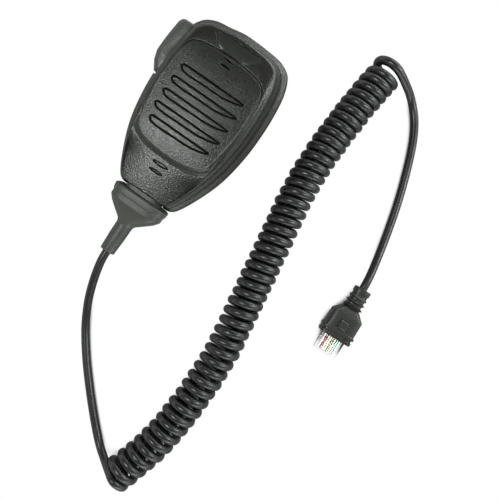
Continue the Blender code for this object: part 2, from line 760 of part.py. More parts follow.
def plug_boot():
    """Flange with two lips, square body, shoulders, and a ribbed neck with a collar."""
    stations = [(0, 8.3, 6.2, 6), (1.7, 8.6, 6.4, 6), (1.9, 8.0, 6.0, 6), (3.0, 8.0, 6.0, 6)]
    stations += [(3.2, 8.8, 6.5, 6), (4.3, 8.8, 6.5, 6), (4.6, 8.1, 6.3, 6), (12.8, 8.0, 6.3, 6)]
    stations += [(16.4, 4.7, 4.6, 4)]
    for middle, rib in [(17.9, 5.4), (20.5, 5.05), (23.1, 4.75)]:
        stations += [(middle - 0.9, 3.9, 3.9, 3), (middle, rib, rib, 3), (middle + 0.7, 3.9, 3.9, 3)]
    stations += [(25.3, 3.9, 3.9, 3), (25.4, 4.35, 4.35, 3), (27.9, 4.3, 4.3, 3)]
    rings = [section(*station, PLUG_AXIS_HEIGHT, 24) for station in stations]
    boot = loft("plug_boot", rings)
    body_hole = ((-6.2, -1, 3.0), (6.2, 12.9, 10.15))
    latch_hole = ((-3.4, -1, 9), (3.4, 10.6, 12.35))
    pad_hole = ((-2.6, 5.3, 11), (2.6, 10.0, 14.5))
    cut(boot, boxes("boot_cavity", [body_hole, latch_hole, pad_hole]), plug)
    return link_part(boot, cord_rubber, plug)


def plug_body():
    """The clear body, with a slot for each contact and one channel for the conductors."""
    half = PLUG_WIDTH / 2
    low = PLUG_AXIS_HEIGHT - PLUG_THICKNESS / 2
    body = boxes("plug_body", [((-half, PLUG_TIP, low), (half, PLUG_REAR, low + PLUG_THICKNESS))])
    slots = [((x - 0.45, -8.3, 2), (x + 0.45, -2.6, 5.5)) for x in contact_places()]
    cut(body, boxes("contact_slots", slots), plug)
    cut(body, boxes("conductor_channel", [((-4.9, -8.2, 5.9), (4.9, 14, 7.35))]), plug)
    return link_part(body, clear_plastic, plug)


def contact_places():
    first = -CONTACT_PITCH * (CONTACT_COUNT - 1) / 2
    return [first + CONTACT_PITCH * k for k in range(CONTACT_COUNT)]


def plug_latch():
    """A sprung lever that rises towards the cord, drawn about its root."""
    stations = [(0, 3.0, 0.0), (5.0, 3.0, 0.28), (6.0, 1.7, 0.34), (16.4, 1.7, 0.95)]
    rings = []
    for y, half_width, rise in stations:
        corners = [(-half_width, rise), (half_width, rise)]
        corners += [(half_width, rise + 0.9), (-half_width, rise + 0.9)]
        rings.append([(x, y, z - 0.2) for x, z in corners])
    return link_part(loft("plug_latch", rings), clear_plastic, latch_axis)


clear_plastic = material("clear_plastic", (0.85, 0.88, 0.86), 0.1, clear=0.9)
plug_boot()
plug_body()
plug_latch()
pad = boxes("release_pad", [((-2.25, -2.0, 0), (2.25, 2.0, 1.5))])
link_part(soften(pad, 0.35), cord_rubber, pad_axis)

gold = material("contact_gold", (0.75, 0.55, 0.2), 0.25, metallic=1.0)
CONDUCTOR_COLOURS = [
    ("white", (0.7, 0.7, 0.68)),
    ("brown", (0.25, 0.06, 0.04)),
    ("pink", (0.75, 0.3, 0.3)),
    ("yellow", (0.75, 0.68, 0.2)),
    ("black", (0.05, 0.05, 0.05)),
    ("grey", (0.4, 0.42, 0.4)),
    ("green", (0.15, 0.45, 0.2)),
    ("teal", (0.35, 0.6, 0.55)),
]
for number, (x, (colour, rgb)) in enumerate(zip(contact_places(), CONDUCTOR_COLOURS), 1):
    blade = boxes(f"contact_{number}", [((x - 0.15, -8.0, 3.55), (x + 0.15, -2.9, 5.2))])
    link_part(blade, gold, plug)
    ends = [(x, -7.9, 6.62), (x, PLUG_REAR - 0.3, 6.62)]
    conductor = tube(f"conductor_{number}_{colour}", ends, 0.41, 1)
    link_part(conductor, material(f"conductor_{colour}", rgb, 0.4), plug)
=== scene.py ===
"""Looks of a hand microphone with a slotted case, a curly cord and a clear modular plug."""

import math

import bmesh
import bpy
import numpy as np
from mathutils import Matrix, Vector


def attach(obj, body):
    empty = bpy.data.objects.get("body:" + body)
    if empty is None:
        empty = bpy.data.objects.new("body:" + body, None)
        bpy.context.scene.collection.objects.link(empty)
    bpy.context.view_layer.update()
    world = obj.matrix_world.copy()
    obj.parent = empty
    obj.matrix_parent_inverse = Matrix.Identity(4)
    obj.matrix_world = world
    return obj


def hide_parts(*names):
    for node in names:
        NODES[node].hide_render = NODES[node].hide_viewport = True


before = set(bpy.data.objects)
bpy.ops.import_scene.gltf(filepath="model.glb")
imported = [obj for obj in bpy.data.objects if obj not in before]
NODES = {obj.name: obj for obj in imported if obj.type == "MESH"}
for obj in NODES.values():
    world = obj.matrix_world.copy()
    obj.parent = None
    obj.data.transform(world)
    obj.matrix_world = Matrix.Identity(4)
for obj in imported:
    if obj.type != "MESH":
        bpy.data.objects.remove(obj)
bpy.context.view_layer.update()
MM = 0.001

# The case, in millimetres about its own middle
RIM_HALF_WIDTH = 30.3
RIM_TOP = 45.2
RIM_BOTTOM = -46.0
RIM_HEIGHT = 10.7
CORNER_DROP = 1.1
PARTING = 14.5
GAP = 0.3
RIDGE_HEIGHT = 24.25
RIDGE_INSET = 6.0
PANEL_RIM = 25.8
FOOT_TOP = 25.35
FOOT_LOW = 24.4
CORD_END_INSET = 0.4
DOME = 1.3
BEAD = 0.12
CREASE = 0.7
LOW_ZONE_CROWN = 1.5
SLOT_DEPTH = 1.35
SLOT_BLADE = 1.2
LENS_DEPTH = 1.4
DASH_DEPTH = 2.6
PLATE_RECESS = 0.9
PLATE_GAP = 0.12
FACE_ACROSS = 250
FACE_ALONG = 420
FACE_SHARP = 75
RIM_POINTS = 420
LEVER_OPENING = ((-40, 5.2, 8.2), (-21.4, 35.1, 20.5))
CORD_OPENING = ((-10.2, -55, 8.0), (10.2, -39.5, 20.0))
SCREW_WELL_RADIUS = 2.7
SCREW_WELL_TOP = 3.2
BUTTON_WELL_RADIUS = 10.4
BUTTON_WELL_TOP = 1.2
DESK_X = 1.36
DESK_Y = 16.88
HEEL_Y = -36.5
BUTTON_Y = 18.0
BUTTON_RADIUS = 8.2
BUTTON_PROUD = 3.8
TILT = math.atan(BUTTON_PROUD / (BUTTON_Y - BUTTON_RADIUS - HEEL_Y))
MIC_LIFT = -HEEL_Y * math.sin(TILT)
CORD_DIAMETER = 4.2
CORD_AXIS_HEIGHT = 14.0
NECK_END = -78.5
COIL_RADIUS = 6.75
CORD_CLEARANCE = 0.05
PLUG_X = 115.8
PLUG_Y = -49.9
PLUG_TURN = math.radians(2.6)
PLUG_AXIS_HEIGHT = 6.6

MIC_FRAME = (
    Matrix.Translation((DESK_X * MM, (DESK_Y + RIM_HEIGHT * math.sin(TILT)) * MM, MIC_LIFT * MM))
    @ Matrix.Rotation(TILT, 4, "X")
    @ Matrix.Scale(MM, 4)
)
PLUG_FRAME = (
    Matrix.Translation(((DESK_X + PLUG_X) * MM, (DESK_Y + PLUG_Y) * MM, 0))
    @ Matrix.Rotation(PLUG_TURN, 4, "Z")
    @ Matrix.Scale(MM, 4)
)
DESK_FRAME = Matrix.Translation((DESK_X * MM, DESK_Y * MM, 0)) @ Matrix.Scale(MM, 4)


# Curves and outlines ---------------------------------------------------------


def spline(points, per_span, closed=False):
    """A centripetal Catmull-Rom curve through the points, as an array."""
    knots = [np.array(p, float) for p in points]
    if closed:
        knots = [knots[-1], *knots, knots[0], knots[1]]
    else:
        knots = [2 * knots[0] - knots[1], *knots, 2 * knots[-1] - knots[-2]]
    curve = []
    for a, b, c, d in zip(knots, knots[1:], knots[2:], knots[3:]):
        t1 = np.linalg.norm(b - a) ** 0.5
        t2 = t1 + np.linalg.norm(c - b) ** 0.5
        t3 = t2 + np.linalg.norm(d - c) ** 0.5
        for t in np.linspace(t1, t2, per_span, endpoint=False):
            ab = a + (b - a) * t / t1
            bc = b + (c - b) * (t - t1) / (t2 - t1)
            cd = c + (d - c) * (t - t2) / (t3 - t2)
            abc = ab + (bc - ab) * t / t2
            bcd = bc + (cd - bc) * (t - t1) / (t3 - t1)
            curve.append(abc + (bcd - abc) * (t - t1) / (t2 - t1))
    if not closed:
        curve.append(knots[-2])
    return np.array(curve)


def lengths(curve):
    return np.concatenate([[0], np.cumsum(np.linalg.norm(np.diff(curve, axis=0), axis=1))])


def at_lengths(curve, wanted):
    along = lengths(curve)
    return np.stack([np.interp(wanted, along, curve[:, k]) for k in range(curve.shape[1])], axis=1)


def evenly(curve, count, closed=False):
    path = np.vstack([curve, curve[:1]]) if closed else curve
    total = lengths(path)[-1]
    return at_lengths(path, np.linspace(0, total, count, endpoint=not closed))


def ramp(value, low, high):
    t = np.clip((value - low) / (high - low), 0, 1)
    return t * t * (3 - 2 * t)


def mirrored(right_side):
    """A closed outline from the points of its right half, listed from the bottom up."""
    left_side = [(-x, y) for x, y in reversed(right_side) if x > 0]
    return spline([*right_side, *left_side], 24, closed=True)


RIM = mirrored(
    [(0, RIM_BOTTOM), (8, RIM_BOTTOM), (13.8, -45.8), (16.5, -43.9), (22.9, -31.5), (27.3, -18.8)]
    + [(29.7, -4.2), (RIM_HALF_WIDTH, 8), (29.8, 21), (28.2, 31.8), (25.9, 38.0), (23.6, 41.1)]
    + [(18.2, 43.8), (9, 44.9), (0, RIM_TOP)]
)
RIM[:, 1] -= CORNER_DROP * ramp(-RIM[:, 0], 2, 14) * ramp(RIM[:, 1], 34, 41)
PANEL = mirrored(
    [(0, -23.4), (9, -22.9), (15.4, -21.2), (18.8, -18.6), (20.3, -14.5), (22.2, -3)]
    + [(22.7, 5), (22.1, 15), (21.0, 23.2), (18.6, 26.9), (12, 28.9), (0, 29.7)]
)
PANEL_CENTRE = np.array([0.0, 3.0])
SLOTS = [(14.05, 17.1), (7.3, 17.9), (0.35, 17.9), (-6.45, 17.9), (-13.15, 16.3)]
SLOT_HALF_HEIGHT = 1.85
LENS_SLOTS = [(-28.6, 4.4, 0.9), (-32.5, 3.7, 0.75)]
DASHES = [(28.0, 2.6, 0.4), (25.0, 2.7, 0.5)]


def inset_outline(outline, inset):
    return outline * np.array([1 - inset / RIM_HALF_WIDTH, 1 - inset / -RIM_BOTTOM])


def front_shares(outline, inset):
    """How much an inset of the grille half scales each point; the cord end moves in less."""
    along = 1 - inset * np.where(outline[:, 1] < 0, CORD_END_INSET, 1.0) / -RIM_BOTTOM
    return np.column_stack([np.full(len(outline), 1 - inset / RIM_HALF_WIDTH), along])


def front_outline(outline, inset):
    return outline * front_shares(outline, inset)


def slot_outline(middle, half_width):
    top, low, left = middle + SLOT_HALF_HEIGHT, middle - SLOT_HALF_HEIGHT, -half_width
    lower = [(half_width + 0.1, top - 0.35), (half_width - 0.6, top - 1.15)]
    lower += [(half_width - 3, top - 2.1), (half_width - 6.5, low + 0.75)]
    lower += [(half_width - 10, low + 0.22), (half_width - 14, low), (0, low), (left + 3.2, low)]
    lower += [(left + 1.5, low + 0.5), (left + 0.35, low + 1.5), (left, middle + 0.5)]
    lower += [(left + 0.25, top - 0.7), (left + 1.2, top - 0.05)]
    curve = spline(lower, 6)
    return np.vstack([curve, [(left + 2.0, top), (half_width - 0.5, top)]])


def lens_outline(middle, half_width, half_height, count=40):
    turns = np.linspace(0, 2 * math.pi, count, endpoint=False)
    return np.stack([half_width * np.cos(turns), middle + half_height * np.sin(turns)], axis=1)


def nameplate_outline(grown):
    half = [(6.5, 30.6 - grown), (8.6 + grown, 31.5 - grown), (12.9 + grown, 36.2)]
    half += [(11.6 + grown, 37.4 + grown)]
    return np.array([*half, *[(-x, y) for x, y in reversed(half)]])


def depth_inside(points, outline):
    """How far each point lies inside the outline, in millimetres; negative outside it."""
    found = np.full(len(points), -9.0)
    margin = 1.5
    low, high = outline.min(0) - margin, outline.max(0) + margin
    near = np.all((points > low) & (points < high), axis=1)
    if not near.any():
        return found
    p = points[near]
    best = np.full(len(p), 1e9)
    inside = np.zeros(len(p), bool)
    for a, b in zip(outline, np.roll(outline, -1, axis=0)):
        edge = b - a
        share = np.clip(((p - a) @ edge) / max(edge @ edge, 1e-12), 0, 1)
        best = np.minimum(best, np.linalg.norm(p - a - share[:, None] * edge, axis=1))
        crosses = (a[1] > p[:, 1]) != (b[1] > p[:, 1])
        if a[1] != b[1]:
            at = a[0] + (p[:, 1] - a[1]) * edge[0] / edge[1]
            inside ^= crosses & (p[:, 0] < at)
    found[near] = np.where(inside, best, -best)
    return found


# Meshes ----------------------------------------------------------------------


def new_object(name, points, faces, place, sharp=35.0):
    mesh = bpy.data.meshes.new(name)
    mesh.from_pydata([tuple(p) for p in points], [], [tuple(f) for f in faces])
    mesh.transform(place)
    mesh.validate()
    shaded(mesh, sharp)
    obj = bpy.data.objects.new(name, mesh)
    bpy.context.scene.collection.objects.link(obj)
    return obj


def shaded(mesh, sharp=35.0):
    mesh.shade_smooth()
    mesh.set_sharp_from_angle(angle=math.radians(sharp))


def loft(rings):
    """Points and faces of a closed skin over rings that all have the same count of points."""
    count = len(rings[0])
    points = np.vstack([np.asarray(ring, float) for ring in rings])
    faces = []
    for row in range(len(rings) - 1):
        a, b = row * count, (row + 1) * count
        for k in range(count):
            j = (k + 1) % count
            faces.append((a + k, a + j, b + j, b + k))
    faces.append(tuple(reversed(range(count))))
    faces.append(tuple(range((len(rings) - 1) * count, len(rings) * count)))
    return points, faces


def outward(obj):
    work = bmesh.new()
    work.from_mesh(obj.data)
    bmesh.ops.recalc_face_normals(work, faces=work.faces)
    work.to_mesh(obj.data)
    work.free()
    return obj


def loft_object(name, rings, place, sharp=35.0):
    return outward(new_object(name, *loft(rings), place, sharp))


def settle(obj, sharp=35.0):
    """Makes the modifiers' result the object's own mesh."""
    bpy.context.view_layer.update()
    graph = bpy.context.evaluated_depsgraph_get()
    mesh = bpy.data.meshes.new_from_object(obj.evaluated_get(graph))
    obj.modifiers.clear()
    obj.data = mesh
    shaded(mesh, sharp)
    return obj


def subtract(obj, tools, sharp=35.0):
    for tool in tools:
        change = obj.modifiers.new("cut", "BOOLEAN")
        change.operation = "DIFFERENCE"
        change.object = tool
        change.solver = "EXACT"
    settle(obj, sharp)
    for tool in tools:
        bpy.data.objects.remove(tool)
    return obj


def soften(obj, width, segments=3, angle=35.0):
    edge = obj.modifiers.new("edges", "BEVEL")
    edge.width = width * MM
    edge.segments = segments
    edge.limit_method = "ANGLE"
    edge.angle_limit = math.radians(angle)
    edge.harden_normals = False
    return obj


def box_tool(low, high, place):
    x0, y0, z0 = low
    x1, y1, z1 = high
    rings = [[(x0, y0, z), (x1, y0, z), (x1, y1, z), (x0, y1, z)] for z in (z0, z1)]
    return loft_object("tool", rings, place)


def round_rings(profile, x, y, count=64):
    """Rings about a line along z, for a profile of (radius, height)."""
    turns = np.linspace(0, 2 * math.pi, count, endpoint=False)
    flat = np.stack([np.cos(turns), np.sin(turns)], axis=1)
    return [[(x + r * u, y + r * v, z) for u, v in flat] for r, z in profile]


def rounded(profile, reach=0.3, steps=3):
    """The profile with each corner rounded off over at most that reach."""
    pts = [np.array(p, float) for p in profile]
    made = [pts[0]]
    for a, b, c in zip(pts, pts[1:], pts[2:]):
        back = min(reach, np.linalg.norm(a - b) * 0.45)
        on = min(reach, np.linalg.norm(c - b) * 0.45)
        start = b + (a - b) / np.linalg.norm(a - b) * back
        end = b + (c - b) / np.linalg.norm(c - b) * on
        for k in range(steps + 1):
            t = k / steps
            made.append((1 - t) ** 2 * start + 2 * t * (1 - t) * b + t * t * end)
    made.append(pts[-1])
    return made


# Materials -------------------------------------------------------------------


class Finish:
    """A Principled material whose textures are laid out in millimetres."""

    def __init__(self, name, colour, roughness, **inputs):
        self.material = bpy.data.materials.new(name)
        self.material.use_nodes = True
        self.tree = self.material.node_tree
        self.nodes = self.tree.nodes
        self.shader = self.nodes["Principled BSDF"]
        self.shader.inputs["Base Color"].default_value = (*colour, 1)
        self.shader.inputs["Roughness"].default_value = roughness
        for key, value in inputs.items():
            self.shader.inputs[key.replace("_", " ")].default_value = value
        where = self.nodes.new("ShaderNodeTexCoord")
        self.scale = self.nodes.new("ShaderNodeVectorMath")
        self.scale.operation = "SCALE"
        self.scale.inputs["Scale"].default_value = 1000
        self.link(where.outputs["Object"], self.scale.inputs[0])
        self.where = self.scale.outputs["Vector"]
        self.height = None

    def link(self, source, target):
        self.tree.links.new(source, target)

    def stretched(self, factors):
        node = self.nodes.new("ShaderNodeVectorMath")
        node.operation = "MULTIPLY"
        node.inputs[1].default_value = factors
        self.link(self.where, node.inputs[0])
        return node.outputs["Vector"]

    def noise(self, per_mm, detail=2.0, rough=0.5, where=None):
        node = self.nodes.new("ShaderNodeTexNoise")
        node.inputs["Scale"].default_value = per_mm
        node.inputs["Detail"].default_value = detail
        node.inputs["Roughness"].default_value = rough
        self.link(where or self.where, node.inputs["Vector"])
        return node.outputs["Fac"]

    def cells(self, per_mm):
        node = self.nodes.new("ShaderNodeTexVoronoi")
        node.feature = "SMOOTH_F1"
        node.inputs["Smoothness"].default_value = 0.6
        node.inputs["Scale"].default_value = per_mm
        self.link(self.where, node.inputs["Vector"])
        return node.outputs["Distance"]

    def mapped(self, value, low, high, to_low, to_high):
        node = self.nodes.new("ShaderNodeMapRange")
        keys = ("From Min", "From Max", "To Min", "To Max")
        for key, number in zip(keys, (low, high, to_low, to_high)):
            node.inputs[key].default_value = number
        self.link(value, node.inputs["Value"])
        return node.outputs["Result"]

    def math(self, operation, a, b):
        node = self.nodes.new("ShaderNodeMath")
        node.operation = operation
        for socket, value in zip(node.inputs, (a, b)):
            if isinstance(value, (int, float)):
                socket.default_value = value
            else:
                self.link(value, socket)
        return node.outputs[0]

    def mixed(self, factor, a, b):
        node = self.nodes.new("ShaderNodeMix")
        node.data_type = "RGBA"
        self.link(factor, node.inputs["Factor"])
        for socket, value in zip((node.inputs[6], node.inputs[7]), (a, b)):
            if isinstance(value, tuple):
                socket.default_value = (*value, 1)
            else:
                self.link(value, socket)
        return node.outputs[2]

    def edges(self, low=0.515, high=0.58):
        shape = self.nodes.new("ShaderNodeNewGeometry")
        return self.mapped(shape.outputs["Pointiness"], low, high, 0, 1)

    def bump(self, value, strength, distance_mm):
        node = self.nodes.new("ShaderNodeBump")
        node.inputs["Strength"].default_value = strength
        node.inputs["Distance"].default_value = distance_mm * MM
        self.link(value, node.inputs["Height"])
        if self.height:
            self.link(self.height, node.inputs["Normal"])
        self.height = node.outputs["Normal"]
        self.link(self.height, self.shader.inputs["Normal"])
        return self

    def tint(self, value):
        self.link(value, self.shader.inputs["Base Color"])
        return self

    def polish(self, value):
        self.link(value, self.shader.inputs["Roughness"])
        return self


PAINTED_SHADE_REACH = 0.9


def lighter(colour, factor):
    return tuple(min(1.0, c * factor) for c in colour)


def moulded(name, colour, roughness, grain=1.6, bump=0.35, depth=0.06, wear=0.5, painted_groove_shade=False, **inputs):
    """Moulded plastic or rubber: spark-eroded grain, mottling, rubbed edges and fine scratches.

    Optionally, painted shade takes the shine out of the bottoms of grooves and seams.
    """
    made = Finish(name, colour, roughness, **inputs)
    mottle = made.noise(0.08, 3.0)
    fine = made.noise(grain, 3.0, 0.6)
    scratch = made.noise(0.9, 2.0, 0.5, made.stretched((0.25, 3.0, 1.0)))
    base = made.mixed(mottle, lighter(colour, 0.82), lighter(colour, 1.2))
    rubbed = made.math("MULTIPLY", made.edges(), made.mapped(scratch, 0.35, 0.7, 0.3, wear))
    made.tint(made.mixed(rubbed, base, lighter(colour, 2.2)))
    sheen = made.mapped(fine, 0.3, 0.7, roughness - 0.06, roughness + 0.07)
    made.polish(made.math("SUBTRACT", sheen, made.math("MULTIPLY", rubbed, 0.12)))
    made.bump(made.mapped(scratch, 0.66, 0.74, 0, 1), 0.05, 0.02)
    made.bump(made.cells(grain), bump, depth)
    made.bump(fine, bump * 0.8, depth * 0.8)
    # Painted shade: ambient occlusion dims the reflections in grooves and seams, where shade falls.
    if painted_groove_shade:
        painted_shade_ao = made.nodes.new("ShaderNodeAmbientOcclusion")
        painted_shade_ao.inputs["Distance"].default_value = PAINTED_SHADE_REACH * MM
        painted_shade_shine = made.mapped(painted_shade_ao.outputs["AO"], 0.5, 0.92, 0.03, 0.5)
        made.link(painted_shade_shine, made.shader.inputs["Specular IOR Level"])
    return made.material


def metal(name, colour, roughness, brushed=(1.0, 1.0, 12.0)):
    made = Finish(name, colour, roughness, Metallic=1.0)
    streak = made.noise(0.8, 3.0, 0.6, made.stretched(brushed))
    spots = made.noise(0.3, 4.0)
    made.tint(made.mixed(spots, lighter(colour, 0.8), lighter(colour, 1.1)))
    made.polish(made.mapped(streak, 0.3, 0.7, roughness - 0.07, roughness + 0.14))
    made.bump(streak, 0.15, 0.02)
    return made.material


def clear(name, colour, roughness):
    made = Finish(name, colour, roughness, Transmission_Weight=1.0, IOR=1.2)
    haze = made.noise(0.5, 3.0)
    made.polish(made.mapped(haze, 0.35, 0.75, roughness, roughness + 0.12))
    made.bump(made.noise(0.6, 2.0), 0.06, 0.05)
    ray = made.nodes.new("ShaderNodeLightPath")
    through = made.nodes.new("ShaderNodeBsdfTransparent")
    blend = made.nodes.new("ShaderNodeMixShader")
    made.link(ray.outputs["Is Shadow Ray"], blend.inputs["Fac"])
    made.link(made.shader.outputs["BSDF"], blend.inputs[1])
    made.link(through.outputs["BSDF"], blend.inputs[2])
    made.link(blend.outputs["Shader"], made.nodes["Material Output"].inputs["Surface"])
    return made.material


CASE_GRAIN = {"grain": 1.6, "bump": 0.9, "depth": 0.11}
# The case and the plate carry painted shade in their grooves and seams.
CASE = moulded("case_plastic", (0.0115, 0.0117, 0.0094), 0.31, painted_groove_shade=True, **CASE_GRAIN)
PLATE = moulded("nameplate_plastic", (0.0125, 0.0128, 0.0105), 0.38, grain=1.75, bump=0.5, painted_groove_shade=True)
LEVER = moulded("ptt_plastic", (0.04, 0.041, 0.037), 0.36, grain=1.4, bump=0.8, depth=0.1)
RUBBER = moulded("cord_rubber", (0.008, 0.0082, 0.0081), 0.38, grain=1.1, bump=0.12, depth=0.05)
BUSHING = moulded("bushing_rubber", (0.04, 0.041, 0.036), 0.46, grain=1.4, bump=0.6, depth=0.08)
BOOT = moulded("boot_rubber", (0.016, 0.0165, 0.0145), 0.42, grain=1.8, bump=0.3)
SOFT = moulded("soft_rubber", (0.02, 0.02, 0.02), 0.7, grain=1.5, bump=0.3)
STEEL = metal("screw_steel", (0.42, 0.42, 0.43), 0.3)
BUTTON = metal("button_metal", (0.5, 0.5, 0.49), 0.28)
CLEAR = clear("clear_plastic", (0.97, 0.98, 0.97), 0.03)
GOLD = metal("contact_gold", (0.83, 0.6, 0.22), 0.22)


def dress(obj, finish):
    obj.data.materials.clear()
    obj.data.materials.append(finish)
    return obj


def place_piece(obj, finish, body, slot, *nodes):
    dress(obj, finish)
    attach(obj, body)
    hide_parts(*nodes)
    return obj


# Front shell -----------------------------------------------------------------


def polar(outline, centre):
    """The outline's radius at any angle about the centre."""
    away = outline - centre
    angle = np.arctan2(away[:, 1], away[:, 0])
    order = np.argsort(angle)
    angle, radius = angle[order], np.linalg.norm(away, axis=1)[order]
    angle = np.concatenate([angle - 2 * math.pi, angle, angle + 2 * math.pi])
    radius = np.tile(radius, 3)
    return lambda wanted: np.interp(wanted, angle, radius)


def droop(y):
    """The share of its height that the grille side loses at each place along the case."""
    top = 0.10 * np.maximum(0, (y - 18) / 27) ** 2
    return top + 0.22 * np.maximum(0, (-12 - y) / 34) ** 2


def drooped(points):
    """Lowers the grille side towards the top end and, more, towards the cord end."""
    low = PARTING + GAP
    made = np.array(points, float)
    made[:, 2] = low + (made[:, 2] - low) * (1 - droop(made[:, 1]))
    return made


RIDGE = front_outline(RIM, RIDGE_INSET)
to_ridge = polar(RIDGE, PANEL_CENTRE)
to_panel = polar(PANEL, PANEL_CENTRE)


def face_height(flat):
    """The height of the grille face over each point of the flat outline."""
    away = flat - PANEL_CENTRE
    angle = np.arctan2(away[:, 1], away[:, 0])
    reach = np.linalg.norm(away, axis=1)
    edge, ridge = to_panel(angle), to_ridge(angle)
    beyond = reach - edge
    share = np.clip(reach / edge, 0, 1)
    foot = FOOT_TOP + (FOOT_LOW - FOOT_TOP) * ramp(-flat[:, 1], -4, 21)
    width = 0.4 + 2.0 * ramp(-flat[:, 1], 14.5, 20.5)
    apron = np.clip((beyond - width) / np.maximum(ridge - edge - width, 0.1), 0, 1)
    z = foot + (RIDGE_HEIGHT - foot) * apron**2
    step = np.clip((beyond + 0.1) / width, 0, 1)
    step += 0.04 * np.sin(2 * math.pi * step) * (width > 1)
    z = np.where(beyond < width, PANEL_RIM + (foot - PANEL_RIM) * step, z)
    z += DOME * (1 - share**2.2) * (beyond < 0)
    at_top = ramp(flat[:, 1], 16, 26)
    z += BEAD * np.exp(-(((beyond + 0.4) / 0.3) ** 2)) * (1 - at_top)
    z -= CREASE * np.exp(-(((beyond - 0.1) / 0.3) ** 2)) * at_top
    z -= LOW_ZONE_CROWN * (flat[:, 0] / 16) ** 2 * ramp(-flat[:, 1], 22, 33)
    for middle, half_width in SLOTS:
        inside = depth_inside(flat, slot_outline(middle, half_width))
        z += SLOT_BLADE * ramp(inside, 0.42, 0.78) - SLOT_DEPTH * ramp(inside, -0.12, 0.2)
    for slot in LENS_SLOTS:
        z -= LENS_DEPTH * ramp(depth_inside(flat, lens_outline(*slot)), -0.05, 0.4)
    for dash in DASHES:
        z -= DASH_DEPTH * ramp(depth_inside(flat, lens_outline(*dash)), -0.08, 0.25)
    return z


def face_patch(across, along):
    """A grid over the inside of the ridge outline, as a Coons patch, with its border in order."""
    corners = [(13.0, -42.6), (20.9, 33.4), (-20.9, 33.4), (-13.0, -42.6)]
    at = [int(np.argmin(np.linalg.norm(RIDGE - np.array(c), axis=1))) for c in corners]

    def side(first, last, count):
        last_index = last if last > first else last + len(RIDGE)
        picked = RIDGE[np.arange(first, last_index + 1) % len(RIDGE)]
        return evenly(picked, count + 1)

    right = side(at[0], at[1], along)
    top = side(at[1], at[2], across)[::-1]
    left = side(at[2], at[3], along)[::-1]
    bottom = side(at[3], at[0], across)
    u = np.linspace(0, 1, across + 1)[None, :, None]
    v = np.linspace(0, 1, along + 1)[:, None, None]
    blend = (1 - v) * bottom[None] + v * top[None] + (1 - u) * left[:, None] + u * right[:, None]
    blend -= (1 - u) * (1 - v) * bottom[0] + u * (1 - v) * bottom[-1]
    blend -= (1 - u) * v * top[0] + u * v * top[-1]
    level = blend[:, across // 2, 1][:, None]
    straight = ramp(v[..., 0], 0.12, 0.3) * (1 - ramp(v[..., 0], 0.84, 0.97))
    straight = straight * (1 - (2 * u[..., 0] - 1) ** 8)
    blend[..., 1] += (level - blend[..., 1]) * straight
    index = np.arange((across + 1) * (along + 1)).reshape(along + 1, across + 1)
    border = np.concatenate([index[0, :-1], index[:-1, -1], index[-1, :0:-1], index[:0:-1, 0]])
    quads = np.stack([index[:-1, :-1], index[:-1, 1:], index[1:, 1:], index[1:, :-1]], axis=-1)
    return blend.reshape(-1, 2), quads.reshape(-1, 4), border


def front_shell():
    flat, quads, border = face_patch(FACE_ACROSS, FACE_ALONG)
    top = drooped(np.column_stack([flat, face_height(flat)]))
    top[:, 2] -= PLATE_RECESS * ramp(depth_inside(flat, nameplate_outline(PLATE_GAP)), -0.05, 0.15)
    points, faces = [top], [tuple(q) for q in quads]
    edge = flat[border] / front_shares(flat[border], RIDGE_INSET)
    outside = [(RIDGE_INSET, RIDGE_HEIGHT), (5.2, 23.7), (4.5, 22.8), (3.95, 21.2)]
    outside += [(3.4, 18.8), (3.05, 16.0), (3.0, 15.2), (3.1, 14.95), (3.3, PARTING + GAP)]
    profile = rounded(outside, 0.5)[1:]
    profile += [(5.1, PARTING + GAP), (5.3, 19.5), (6.2, 21.6), (8.2, 22.4)]
    previous = border
    for inset, height in profile:
        ring = np.column_stack([front_outline(edge, inset), np.full(len(edge), height)])
        start = sum(len(p) for p in points)
        points.append(drooped(ring))
        current = np.arange(start, start + len(ring))
        for k in range(len(ring)):
            j = (k + 1) % len(ring)
            faces.append((previous[j], previous[k], current[k], current[j]))
        previous = current
    faces.append(tuple(previous[::-1]))
    return outward(new_object("case_front", np.vstack(points), faces, MIC_FRAME, FACE_SHARP))


def case_openings():
    return [
        box_tool(*LEVER_OPENING, MIC_FRAME),
        box_tool(*CORD_OPENING, MIC_FRAME),
    ]


SCREW_PLACES = [(17, 32), (-17, 32), (13, -30.5), (-13, -30.5)]


def rear_shell():
    outline = evenly(RIM, RIM_POINTS, closed=True)
    outside = [(3.0, PARTING), (2.75, PARTING - 0.05), (2.6, 13.8), (0.4, 11.9), (0, 11.2)]
    outside += [(0, 10.4), (0.2, 9.0), (0.8, 7.0), (1.8, 5.0), (3.0, 2.9), (4.4, 1.6)]
    outside += [(5.8, 0.75), (7.4, 0.25), (9.5, 0)]
    inside = [(12.5, 2.0), (9.4, 2.2), (6.6, 3.4), (4.2, 6.2), (2.6, 9.6), (2.5, 10.6)]
    inside += [(4.9, 13.4), (5.0, PARTING)]
    rings = []
    for inset, height in [*inside, *[tuple(p) for p in rounded(outside, 0.45)]]:
        rings.append(np.column_stack([inset_outline(outline, inset), np.full(len(outline), height)]))
    shell = loft_object("case_back", rings, MIC_FRAME)
    screw_well = [(SCREW_WELL_RADIUS, -1), (SCREW_WELL_RADIUS, SCREW_WELL_TOP)]
    button_well = [(BUTTON_WELL_RADIUS, -1), (BUTTON_WELL_RADIUS, BUTTON_WELL_TOP)]
    wells = [round_rings(screw_well, x, y) for x, y in SCREW_PLACES]
    wells.append(round_rings(button_well, 0, BUTTON_Y, 96))
    tools = [loft_object("tool", well, MIC_FRAME) for well in wells]
    return subtract(shell, [*case_openings(), *tools])


front = subtract(front_shell(), case_openings(), FACE_SHARP)
place_piece(front, CASE, "case", "case_plastic", "front_shell")
rear = rear_shell()
place_piece(rear, CASE, "case", "case_plastic", "rear_shell")


